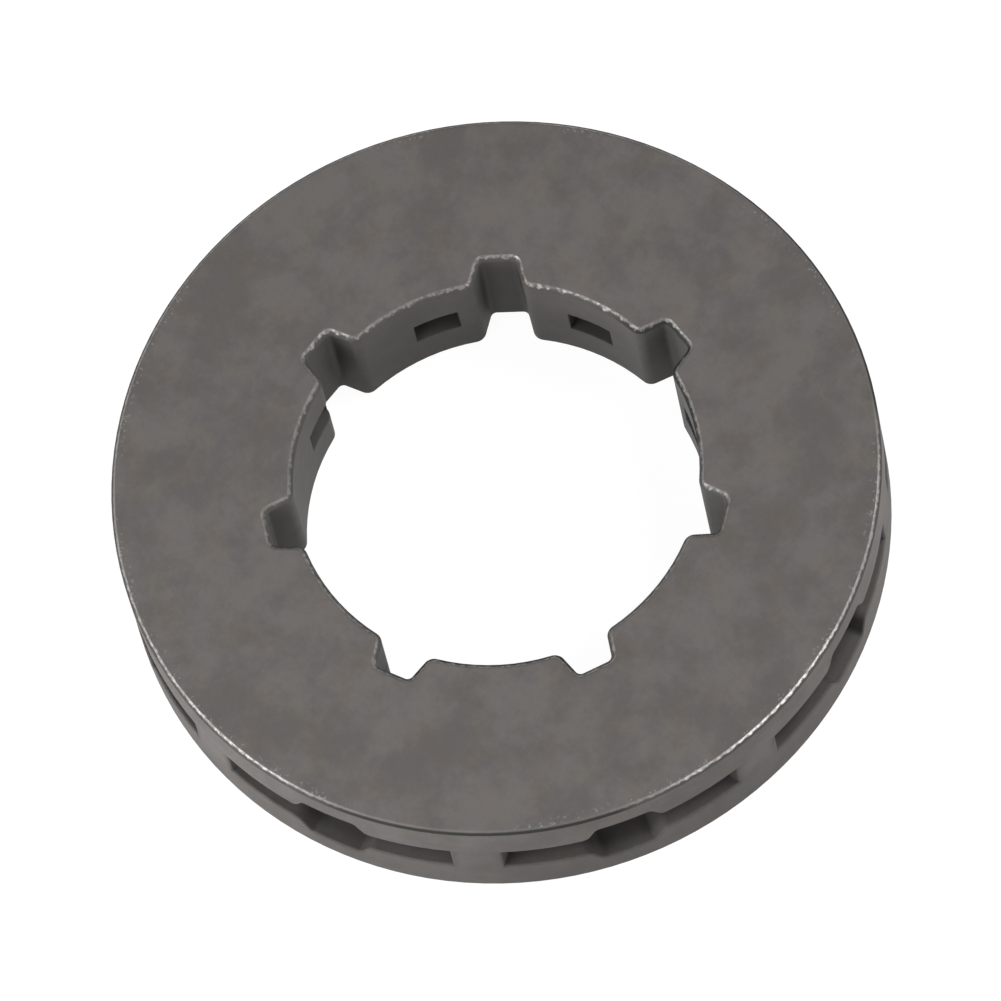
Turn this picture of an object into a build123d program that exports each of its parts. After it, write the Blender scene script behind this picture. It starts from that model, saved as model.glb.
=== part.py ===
"""Chainsaw rim sprocket: a flat steel ring with chain pockets round its rim and a splined bore."""

import os
from math import asin, cos, radians, sin, tan

from build123d import *

# Ring
rim_diameter = 36.0
rim_thickness = 6.5
rim_edge_chamfer = 0.2

# Splined bore, which slides on the hub of the clutch drum
bore_diameter = 19.0
bore_edge_chamfer = 0.26
spline_count = 7
spline_depth = 1.35
spline_mouth_width = 2.4
spline_flank_lean = 14.5
spline_mouth_round = 0.55
spline_root_round = 0.3

# Slot for the tang of each chain drive link, between two teeth
tang_count = 8
tooth_width = 2.36
slot_height = 1.75
slot_end_depth = 1.7
slot_end_lean = 12.0

# Chip pocket at the middle of each slot
pocket_height = 3.55
pocket_flat_width = 2.6
pocket_waist_width = 3.6
pocket_floor_wall = 1.4
pocket_floor_step = 0.6
pocket_corner_round = 0.3
pocket_waist_round = 0.5
pocket_mouth_chamfer = 0.06

# Window from each pocket into the bore, which lets chips and oil through
window_width = 2.2
window_height = 1.7

# Places that follow from the sizes above
rim_radius = rim_diameter / 2
bore_radius = bore_diameter / 2
spline_root_radius = bore_radius + spline_depth
pocket_floor_radius = spline_root_radius + pocket_floor_wall
inside_radius = bore_radius / 2
outside_radius = rim_radius + slot_end_depth
half_pitch = 180 / tang_count


def distance_from_axis(vertex):
    """Distance of a vertex from the ring's axis."""
    return Vector(vertex.X, vertex.Y).length


def spline_half_width(radius):
    """Half the width of a spline notch at a distance from the ring's axis."""
    return spline_mouth_width / 2 - (radius - bore_radius) * tan(radians(spline_flank_lean))


# Opening of the bore: a circle with a tapered notch for each spline of the hub
inside_half = spline_half_width(inside_radius)
root_half = spline_half_width(spline_root_radius)
with BuildSketch() as bore_opening:
    Circle(bore_radius)
    with PolarLocations(0, spline_count):
        Polygon(
            (inside_radius, -inside_half),
            (spline_root_radius, -root_half),
            (spline_root_radius, root_half),
            (inside_radius, inside_half),
            align=None,
        )
    root_corners = bore_opening.vertices().group_by(distance_from_axis)[-1]
    fillet(root_corners, spline_root_round)
    mouth_corners = bore_opening.vertices().group_by(distance_from_axis)[0]
    fillet(mouth_corners, spline_mouth_round)

# Space for one tang, on the +X side of the axis and centred on the ring's middle plane
slot_end_angle = radians(half_pitch) - asin(tooth_width / rim_diameter)
slot_wall_angle = slot_end_angle + radians(slot_end_lean)
slot_end_x = rim_radius * cos(slot_end_angle)
slot_end_y = rim_radius * sin(slot_end_angle)
outside_y = slot_end_y + (outside_radius - slot_end_x) * tan(slot_wall_angle)
with BuildPart() as tang_space:
    # Slot and chip pocket as seen from outside the rim
    with BuildSketch(Plane.YZ.offset(pocket_floor_radius)):
        with BuildLine():
            FilletPolyline(
                (0, pocket_height / 2),
                (pocket_flat_width / 2, pocket_height / 2),
                (pocket_waist_width / 2, slot_height / 2),
                (outside_y, slot_height / 2),
                radius=[pocket_corner_round, pocket_waist_round],
            )
            Line((outside_y, slot_height / 2), (outside_y, 0))
            mirror(about=Plane.XZ)
            mirror(about=Plane.YZ)
        make_face()
    extrude(amount=outside_radius - pocket_floor_radius)

    # Trimmed to the shield shape of a tang, as seen along the ring's axis
    with BuildSketch():
        with BuildLine():
            Polyline(
                (outside_radius, 0),
                (outside_radius, outside_y),
                (
                    slot_end_x - slot_end_depth * cos(slot_wall_angle),
                    slot_end_y - slot_end_depth * sin(slot_wall_angle),
                ),
                (pocket_floor_radius + pocket_floor_step, pocket_waist_width / 2),
                (pocket_floor_radius, pocket_waist_width / 2),
                (pocket_floor_radius, 0),
            )
            mirror(about=Plane.XZ)
        make_face()
    extrude(amount=pocket_height, both=True, mode=Mode.INTERSECT)

    # Window through the pocket's floor
    with BuildSketch(Plane.YZ.offset(inside_radius)):
        Rectangle(window_width, window_height)
    extrude(amount=outside_radius - inside_radius)

with BuildPart() as rim_sprocket:
    # Disc, turned by half a pitch so that the seam of its wall runs down a tooth and not across a slot
    Cylinder(
        rim_radius,
        rim_thickness,
        rotation=(0, 0, half_pitch),
        align=(Align.CENTER, Align.CENTER, Align.MIN),
    )
    chamfer(rim_sprocket.edges().filter_by(GeomType.CIRCLE), rim_edge_chamfer)

    # Splined bore, chamfered where it meets both faces
    with BuildSketch():
        add(bore_opening.sketch)
    extrude(amount=rim_thickness, mode=Mode.SUBTRACT)
    flat_faces = rim_sprocket.faces().filter_by(Plane.XY)
    chamfer([edge for face in flat_faces for edge in face.inner_wires().edges()], bore_edge_chamfer)

    # Tang spaces round the rim, with chamfered mouths
    with Locations((0, 0, rim_thickness / 2)):
        with PolarLocations(0, tang_count):
            add(tang_space.part, mode=Mode.SUBTRACT)
    rim_wall = rim_sprocket.faces().filter_by(GeomType.CYLINDER).sort_by(SortBy.AREA)[-1]
    chamfer(rim_wall.inner_wires().edges(), pocket_mouth_chamfer)

rim_sprocket.part.label = "rim_sprocket"
os.makedirs("parts", exist_ok=True)
export_step(rim_sprocket.part, "parts/rim_sprocket.step")
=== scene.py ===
"""Studio picture of a chainsaw rim sprocket: a dark steel ring on a white floor, seen as in the photo."""

from math import cos, pi, radians, sin

import bpy
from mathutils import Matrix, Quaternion, Vector


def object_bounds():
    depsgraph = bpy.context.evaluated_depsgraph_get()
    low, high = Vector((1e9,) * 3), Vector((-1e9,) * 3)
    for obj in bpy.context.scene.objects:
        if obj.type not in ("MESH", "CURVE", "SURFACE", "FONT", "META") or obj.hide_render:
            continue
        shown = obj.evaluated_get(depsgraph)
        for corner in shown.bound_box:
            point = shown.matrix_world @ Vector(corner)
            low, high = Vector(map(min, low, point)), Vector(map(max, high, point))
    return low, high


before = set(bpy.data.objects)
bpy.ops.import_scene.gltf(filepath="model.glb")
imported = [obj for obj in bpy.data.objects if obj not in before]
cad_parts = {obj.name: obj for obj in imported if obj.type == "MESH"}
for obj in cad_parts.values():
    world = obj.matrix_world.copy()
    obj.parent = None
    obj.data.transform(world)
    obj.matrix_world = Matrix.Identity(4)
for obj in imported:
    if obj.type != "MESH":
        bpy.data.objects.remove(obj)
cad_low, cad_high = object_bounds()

MM = 0.001

# Ring, in millimetres: its box, and the details of it that the steel's finish follows
rim_radius = cad_high.x / MM
rim_height = cad_high.z / MM
rim_bevel = 0.2
bore_bevel = 0.26
bore_land_radius = 9.5
bore_root_radius = 10.85
tang_count = 8
slot_height = 1.75
slot_half_length = 5.8
pocket_height = 3.55
pocket_flat_width = 2.6
pocket_waist_width = 3.6

# Camera, fitted to the outlines of the ring in the photo: pixels, degrees and millimetres
photo_width = 1001
focal_length = 14000
sensor_width = 36
camera_azimuth = 129.4
camera_elevation = 66.67
camera_roll = 14.36
camera_distance = 649.9
aim_towards_camera = 1.401
aim_to_the_left = 0.080

# Colours of the steel, linear
oxide_dark = (0.132, 0.122, 0.116, 1)
oxide_light = (0.194, 0.180, 0.170, 1)
oxide_warm = (0.172, 0.151, 0.131, 1)
oxide_cool = (0.161, 0.151, 0.154, 1)
# Dark colour for dirt and for painted shade
dirt_and_shade_colour = (0.040, 0.041, 0.038, 1)
bare_steel = (0.47, 0.458, 0.445, 1)

# Gloss of the steel
oxide_metallic = 0.15
oxide_roughness = 0.62
oxide_specular = 0.2
bare_metallic = 1.0
bare_roughness = 0.32

# Patterns and relief of the steel, in millimetres, and a count of samples
cloud_size = 2.8
tint_size = 1.5
grain_size = 0.2
bump_size = 0.25
bump_height = 0.02
edge_round = 0.12
edge_round_samples = 6
dirt_edge_size = 0.5
stretch_size = 5.0
glint_size = 0.2
ragged_size = 0.35
speck_size = 0.16

# Shares of the patterns, of dirt, of painted shade, of darkening low on the wall and of bare metal, from 0
# to 1
tint_share = 0.42
grain_share = 0.07
bump_share = 0.25
# Painted shade on the bore's lands and in its notches
land_painted_shade = 0.5
notch_painted_shade = 0.7
slot_mouth_dirt = 0.38
# Painted shade on the slots' floors, deeper in
slot_floor_painted_shade = 0.65
# Darkening of the lower wall
low_wall_darkening_share = 0.22
# Painted shade along the foot of bevels where the chain rubbed
rubbed_foot_painted_shade = 0.55
least_rubbed = 0.04
rest_rubbed = 0.6
bore_wear = 0.6
speck_wear = 0.55
rim_dimmest = 0.5
bore_dimmest = 0.1
rim_raggedness = 0.15
bore_raggedness = 0.3

# Side that the chain rubbed most, in degrees, and the cosines of angles from it where rubbing fades
worn_side = 175
worn_side_cosines = (0.72, 0.9)
rest_cosines = (0.25, -0.1)

# Reach of dirt, painted shade, low-wall darkening and wear, in millimetres; above a slot, distances are
# stretched so that dirt ends sooner
above_slot_stretch = 4
rim_inset = 1.0
bore_inset = 2.0
bore_zone_radius = bore_root_radius + 1
slot_dirt_reach = 0.65
slot_dirt_wobble = 0.12
low_wall_top = 3.4
low_wall_bottom = 1.8

# Stage: the floor's sizes in millimetres, then its brightness and the sky's
floor_size = 4000
floor_border = 600
floor_gap = 0.02
floor_albedo = 0.14
floor_glow = 0.95
sky_light = 0.01
white = (1, 1, 1, 1)

# Lamps: turn is in degrees round the ring from the camera, positive to the right
lamps = {
    "key_softbox": dict(turn=-90, elevation=20, distance=400, size=240, power=0.7),
    "near_softbox": dict(turn=-57, elevation=25, distance=120, size=90, power=0.092),
    "side_softbox": dict(turn=100, elevation=50, distance=400, size=240, power=0.97),
    "front_softbox": dict(turn=44, elevation=20, distance=400, size=300, power=0.66),
}


def direction(azimuth, elevation):
    """Unit vector from the ring to a place at this azimuth and elevation, both in degrees."""
    turn, rise = radians(azimuth), radians(elevation)
    return Vector((sin(turn) * cos(rise), -cos(turn) * cos(rise), sin(rise)))


def facing(back):
    """Rotation of a camera or lamp that looks along the opposite of back."""
    return (-back).to_track_quat("-Z", "Y")


def add_camera():
    """Camera at the photo's place, with the photo's focal length and tilt of the frame."""
    data = bpy.data.cameras.new("photo_camera")
    data.sensor_width = sensor_width
    data.lens = focal_length / photo_width * sensor_width
    camera = bpy.data.objects.new("photo_camera", data)
    bpy.context.collection.objects.link(camera)
    towards = direction(camera_azimuth, 0)
    left = direction(camera_azimuth - 90, 0)
    aim = Vector((0, 0, rim_height)) + towards * aim_towards_camera + left * aim_to_the_left
    back = direction(camera_azimuth, camera_elevation)
    camera.location = (aim + back * camera_distance) * MM
    camera.rotation_mode = "QUATERNION"
    camera.rotation_quaternion = facing(back) @ Quaternion((0, 0, 1), radians(-camera_roll))
    bpy.context.scene.camera = camera


def add_lamp(name, turn, elevation, distance, size, power):
    """Square softbox that looks at the ring."""
    data = bpy.data.lights.new(name, "AREA")
    data.shape = "SQUARE"
    data.size = size * MM
    data.energy = power
    lamp = bpy.data.objects.new(name, data)
    bpy.context.collection.objects.link(lamp)
    back = direction(camera_azimuth + turn, elevation)
    lamp.location = back * distance * MM
    lamp.rotation_mode = "QUATERNION"
    lamp.rotation_quaternion = facing(back)
    lamp.visible_camera = False


class Nodes:
    """Shorthand for building a node tree."""

    def __init__(self, tree):
        self.tree = tree
        tree.nodes.clear()

    def add(self, kind, output=0, **settings):
        """New node. A setting names a property or, after i_, an input by its name or number."""
        node = self.tree.nodes.new(kind)
        for key, value in settings.items():
            if not key.startswith("i_"):
                setattr(node, key, value)
        for key, value in settings.items():
            if key.startswith("i_"):
                self.fill(node, key[2:], value)
        return node.outputs[output] if node.outputs else node

    def fill(self, node, key, value):
        """Sets or links one input of a node."""
        socket = node.inputs[int(key)] if key.isdigit() else node.inputs[key.replace("_", " ")]
        if isinstance(value, bpy.types.NodeSocket):
            self.tree.links.new(value, socket)
        else:
            socket.default_value = value

    def math(self, operation, *values):
        """Result of one sum on numbers or sockets."""
        inputs = {f"i_{number}": value for number, value in enumerate(values)}
        return self.add("ShaderNodeMath", operation=operation, **inputs)

    def product(self, first, *others):
        """Numbers or sockets multiplied together."""
        for other in others:
            first = self.math("MULTIPLY", first, other)
        return first

    def greatest(self, first, *others):
        """The greatest of several numbers or sockets."""
        for other in others:
            first = self.math("MAXIMUM", first, other)
        return first

    def split(self, vector):
        """The three parts of a vector."""
        node = self.tree.nodes.new("ShaderNodeSeparateXYZ")
        self.tree.links.new(vector, node.inputs[0])
        return node.outputs

    def ramp(self, value, low, high, start=0.0, end=1.0, shape="SMOOTHSTEP"):
        """Start up to low, end from high on, and a slope between them; low may be above high."""
        return self.add(
            "ShaderNodeMapRange",
            interpolation_type=shape,
            i_0=value,
            i_1=low,
            i_2=high,
            i_3=start,
            i_4=end,
        )

    def noise(self, place, size, shift=0.0, detail=2.0, roughness=0.5):
        """Noise from 0 to 1, with blotches of this size in millimetres; a shift gives another pattern."""
        moved = self.add("ShaderNodeVectorMath", operation="ADD", i_0=place, i_1=(shift, shift, shift))
        return self.add(
            "ShaderNodeTexNoise",
            i_Vector=moved,
            i_Scale=1 / size,
            i_Detail=detail,
            i_Roughness=roughness,
        )

    def grey(self, value):
        """Number as a grey."""
        return self.add("ShaderNodeCombineColor", i_0=value, i_1=value, i_2=value)

    def mix(self, amount, first, second, blend="MIX"):
        """Blend of two colours."""
        return self.add(
            "ShaderNodeMix",
            output=2,
            data_type="RGBA",
            blend_type=blend,
            i_0=amount,
            i_6=first,
            i_7=second,
        )


def dress_world():
    """Dim even light from all round, as in a darkened studio."""
    world = bpy.data.worlds.new("dim_studio")
    bpy.context.scene.world = world
    world.use_nodes = True
    nodes = Nodes(world.node_tree)
    sky = nodes.add("ShaderNodeBackground", i_Color=white, i_Strength=sky_light)
    nodes.add("ShaderNodeOutputWorld", i_Surface=sky)


def floor_material():
    """White floor that keeps a faint shadow of the ring."""
    material = bpy.data.materials.new("white_floor")
    material.use_nodes = True
    nodes = Nodes(material.node_tree)
    matte = nodes.add("ShaderNodeBsdfDiffuse", i_Color=(floor_albedo, floor_albedo, floor_albedo, 1))
    path = nodes.tree.nodes.new("ShaderNodeLightPath").outputs
    seen = nodes.greatest(path["Is Camera Ray"], path["Is Glossy Ray"], path["Is Transmission Ray"])
    glow = nodes.add("ShaderNodeEmission", i_Strength=nodes.product(seen, floor_glow))
    both = nodes.add("ShaderNodeAddShader", i_0=matte, i_1=glow)
    nodes.add("ShaderNodeOutputMaterial", i_Surface=both)
    return material


def add_floor():
    """Floor just under the ring. Its border rises all round, so that low views meet no horizon."""
    half = floor_size / 2
    border = half + floor_border
    corners = ((-1, -1), (1, -1), (1, 1), (-1, 1))
    inner = [(x * half * MM, y * half * MM, 0) for x, y in corners]
    outer = [(x * border * MM, y * border * MM, floor_border * MM) for x, y in corners]
    sides = [(n, n + 4, (n + 1) % 4 + 4, (n + 1) % 4) for n in range(4)]
    mesh = bpy.data.meshes.new("floor")
    mesh.from_pydata(inner + outer, [], [(0, 1, 2, 3)] + sides)
    mesh.materials.append(floor_material())
    floor = bpy.data.objects.new("floor", mesh)
    floor.location.z = -floor_gap * MM
    bpy.context.collection.objects.link(floor)


class Spot:
    """Where a shaded point lies on the ring. Distances are in millimetres."""

    def __init__(self, nodes):
        metres = nodes.add("ShaderNodeTexCoord", output="Object")
        self.place = nodes.add("ShaderNodeVectorMath", operation="SCALE", i_0=metres, i_Scale=1 / MM)
        x, y, z = nodes.split(self.place)
        self.height = z
        self.depth = nodes.math("MINIMUM", z, nodes.math("SUBTRACT", rim_height, z))
        self.reach = nodes.math("SQRT", nodes.math("ADD", nodes.product(x, x), nodes.product(y, y)))
        self.inset = nodes.math("SUBTRACT", rim_radius, self.reach)
        self.bevel_share = self.find_bevel_share(nodes)
        self.rubbed = self.find_rubbed(nodes, x, y)
        self.past_lip = self.find_past_lip(nodes, x, y)

    def find_bevel_share(self, nodes):
        """Share of the way down a bevel, from 0 at the flat face to 1 at the wall."""
        bevel = nodes.ramp(self.reach, bore_zone_radius, rim_radius - rim_inset, bore_bevel, rim_bevel)
        return nodes.math("DIVIDE", self.depth, bevel)

    def find_rubbed(self, nodes, x, y):
        """Share of rubbing by the chain: full on the worn side, least beside it and some on the rest."""
        worn = direction(worn_side, 0)
        along = nodes.math("ADD", nodes.product(x, worn.x), nodes.product(y, worn.y))
        cosine = nodes.math("DIVIDE", along, self.reach)
        full = nodes.ramp(cosine, *worn_side_cosines)
        some = nodes.ramp(cosine, *rest_cosines, least_rubbed, rest_rubbed)
        return nodes.greatest(full, some)

    def find_past_lip(self, nodes, x, y):
        """Distance past the lip of the nearest slot or pocket: under 0 in its mouth, stretched above it."""
        pitch = 2 * pi / tang_count
        turn = nodes.math("WRAP", nodes.math("ARCTAN2", y, x), pitch / 2, -pitch / 2)
        along = nodes.math("ABSOLUTE", nodes.product(turn, self.reach))
        half_height = nodes.ramp(
            along,
            pocket_flat_width / 2,
            pocket_waist_width / 2,
            pocket_height / 2,
            slot_height / 2,
            shape="LINEAR",
        )
        rise = nodes.math("SUBTRACT", self.height, rim_height / 2)
        below = nodes.math("SUBTRACT", nodes.product(rise, -1), half_height)
        above = nodes.product(nodes.math("SUBTRACT", rise, half_height), above_slot_stretch)
        past_end = nodes.math("SUBTRACT", along, slot_half_length)
        return nodes.greatest(below, above, past_end)


def oxide_colour(nodes, spot):
    """Mottled dark oxide: light and dark clouds, warm and cool patches, and a fine grain."""
    clouds = nodes.noise(spot.place, cloud_size, detail=5.0, roughness=0.7)
    colour = nodes.mix(nodes.ramp(clouds, 0.36, 0.64), oxide_dark, oxide_light)
    tint = nodes.noise(spot.place, tint_size, shift=40, detail=3.0)
    patches = nodes.mix(nodes.ramp(tint, 0.35, 0.65), oxide_warm, oxide_cool)
    colour = nodes.mix(tint_share, colour, patches)
    grain = nodes.noise(spot.place, grain_size)
    return nodes.mix(grain_share, colour, nodes.grey(grain), blend="OVERLAY")


def bore_painted_shade(nodes, spot):
    """Painted shade on the walls of the bore, darkest in the notches."""
    inside = nodes.ramp(spot.reach, bore_root_radius + 0.4, bore_root_radius + 0.1)
    below_bevel = nodes.ramp(spot.bevel_share, 0.8, 1.3)
    # Painted shade, more in the notches than on the lands
    amount = nodes.ramp(spot.reach, bore_land_radius + 0.2, bore_root_radius - 0.2, land_painted_shade, notch_painted_shade)
    return nodes.product(inside, below_bevel, amount)


def slot_dirt_and_painted_shade(nodes, spot):
    """Dirt round the mouths of the slots, with an uneven edge on the wall round them; deeper in, painted
    shade, darkest on their floors.
    """
    edge = nodes.noise(spot.place, dirt_edge_size, shift=20)
    wobble = nodes.ramp(edge, 0.0, 1.0, -slot_dirt_wobble, slot_dirt_wobble)
    near_slot = nodes.ramp(nodes.math("ADD", spot.past_lip, wobble), slot_dirt_reach, 0.0)
    outside_bore = nodes.ramp(spot.reach, bore_zone_radius, bore_zone_radius + 0.2)
    # Dirt at the slot mouths, painted shade deeper in on the floors
    amount = nodes.ramp(spot.inset, 0.3, 0.9, slot_mouth_dirt, slot_floor_painted_shade)
    return nodes.product(near_slot, outside_bore, amount)


def low_wall_darkening(nodes, spot):
    """Darker colour on the lower part of the rim's wall."""
    on_wall = nodes.ramp(spot.inset, 0.3, 0.1)
    # Darker towards the bottom of the wall
    low = nodes.ramp(spot.height, low_wall_top, low_wall_bottom)
    return nodes.product(on_wall, low, low_wall_darkening_share)


def foot_painted_shade(nodes, spot):
    """Painted shade: a dark line along the foot of each bevel, fainter where the chain rubbed."""
    # Painted shade as a dark line along the bevel's foot
    start = nodes.ramp(spot.bevel_share, 0.34, 0.6)
    end = nodes.ramp(spot.bevel_share, 1.4, 0.9)
    amount = nodes.ramp(spot.rubbed, 0.1, 0.4, 1.0, rubbed_foot_painted_shade)
    return nodes.product(start, end, amount)


def edge_wear(nodes, spot):
    """Ragged line of glints along each bevel, more broken on the bore than on the rim."""
    on_rim = nodes.product(spot.rubbed, nodes.ramp(spot.inset, bore_inset, rim_inset))
    on_bore = nodes.ramp(spot.inset, rim_inset, bore_inset, 0.0, bore_wear)
    dimmest = nodes.ramp(spot.inset, rim_inset, bore_inset, rim_dimmest, bore_dimmest)
    sparkle = nodes.noise(spot.place, glint_size, shift=10, detail=1.0)
    glints = nodes.ramp(sparkle, 0.3, 0.65, dimmest, 1.0)
    raggedness = nodes.ramp(spot.inset, rim_inset, bore_inset, rim_raggedness, bore_raggedness)
    swing = nodes.ramp(nodes.noise(spot.place, ragged_size, shift=50), 0.25, 0.75, -1.0, 1.0)
    ragged_share = nodes.math("ADD", spot.bevel_share, nodes.product(swing, raggedness))
    start = nodes.ramp(spot.bevel_share, 0.02, 0.15)
    end = nodes.ramp(ragged_share, 0.65, 0.42)
    return nodes.product(start, end, nodes.math("ADD", on_rim, on_bore), glints)


def speck_amount(nodes, spot):
    """Bare specks on the flat face beside the rim."""
    specks = nodes.ramp(nodes.noise(spot.place, speck_size, shift=60, detail=1.0), 0.61, 0.7)
    beside_rim = nodes.ramp(spot.inset, 0.7, 0.2)
    on_face = nodes.ramp(spot.depth, 0.05, 0.01)
    return nodes.product(specks, beside_rim, on_face, speck_wear)


def wear_amount(nodes, spot):
    """Bare steel along the edges, in longer and shorter stretches."""
    pattern = nodes.noise(spot.place, stretch_size, shift=80, detail=1.0)
    stretches = nodes.ramp(pattern, 0.3, 0.6, 0.5, 1.0)
    line = nodes.product(edge_wear(nodes, spot), stretches)
    specks = nodes.product(speck_amount(nodes, spot), nodes.ramp(stretches, 0.7, 0.95))
    return nodes.greatest(line, specks)


def steel_material():
    """Dark oxide-grey steel with painted shade in its bore, notches and slot floors, dirt round its slot
    mouths, a darker lower wall, and bare metal along its worn edges.
    """
    material = bpy.data.materials.new("dark_steel")
    material.use_nodes = True
    nodes = Nodes(material.node_tree)
    spot = Spot(nodes)
    dirt_and_shade = nodes.greatest(
        bore_painted_shade(nodes, spot),
        slot_dirt_and_painted_shade(nodes, spot),
        low_wall_darkening(nodes, spot),
        foot_painted_shade(nodes, spot),
    )
    worn = wear_amount(nodes, spot)
    # Darkens the oxide with dirt and with painted shade
    colour = nodes.mix(dirt_and_shade, oxide_colour(nodes, spot), dirt_and_shade_colour)
    colour = nodes.mix(worn, colour, bare_steel)
    rounded = nodes.add("ShaderNodeBevel", samples=edge_round_samples, i_Radius=edge_round * MM)
    bump = nodes.add(
        "ShaderNodeBump",
        i_Strength=bump_share,
        i_Distance=bump_height * MM,
        i_Height=nodes.noise(spot.place, bump_size),
        i_Normal=rounded,
    )
    steel = nodes.add(
        "ShaderNodeBsdfPrincipled",
        i_Base_Color=colour,
        i_Metallic=nodes.ramp(worn, 0.0, 1.0, oxide_metallic, bare_metallic),
        i_Roughness=nodes.ramp(worn, 0.0, 1.0, oxide_roughness, bare_roughness),
        i_Specular_IOR_Level=oxide_specular,
        i_Normal=bump,
    )
    nodes.add("ShaderNodeOutputMaterial", i_Surface=steel)
    return material


def dress_ring():
    """Finish of the ring itself."""
    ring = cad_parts["rim_sprocket"]
    ring.data.materials.clear()
    ring.data.materials.append(steel_material())


# Scene
bpy.context.scene.view_settings.view_transform = "Standard"
dress_world()
add_floor()
for lamp_name, lamp in lamps.items():
    add_lamp(lamp_name, **lamp)
dress_ring()
add_camera()
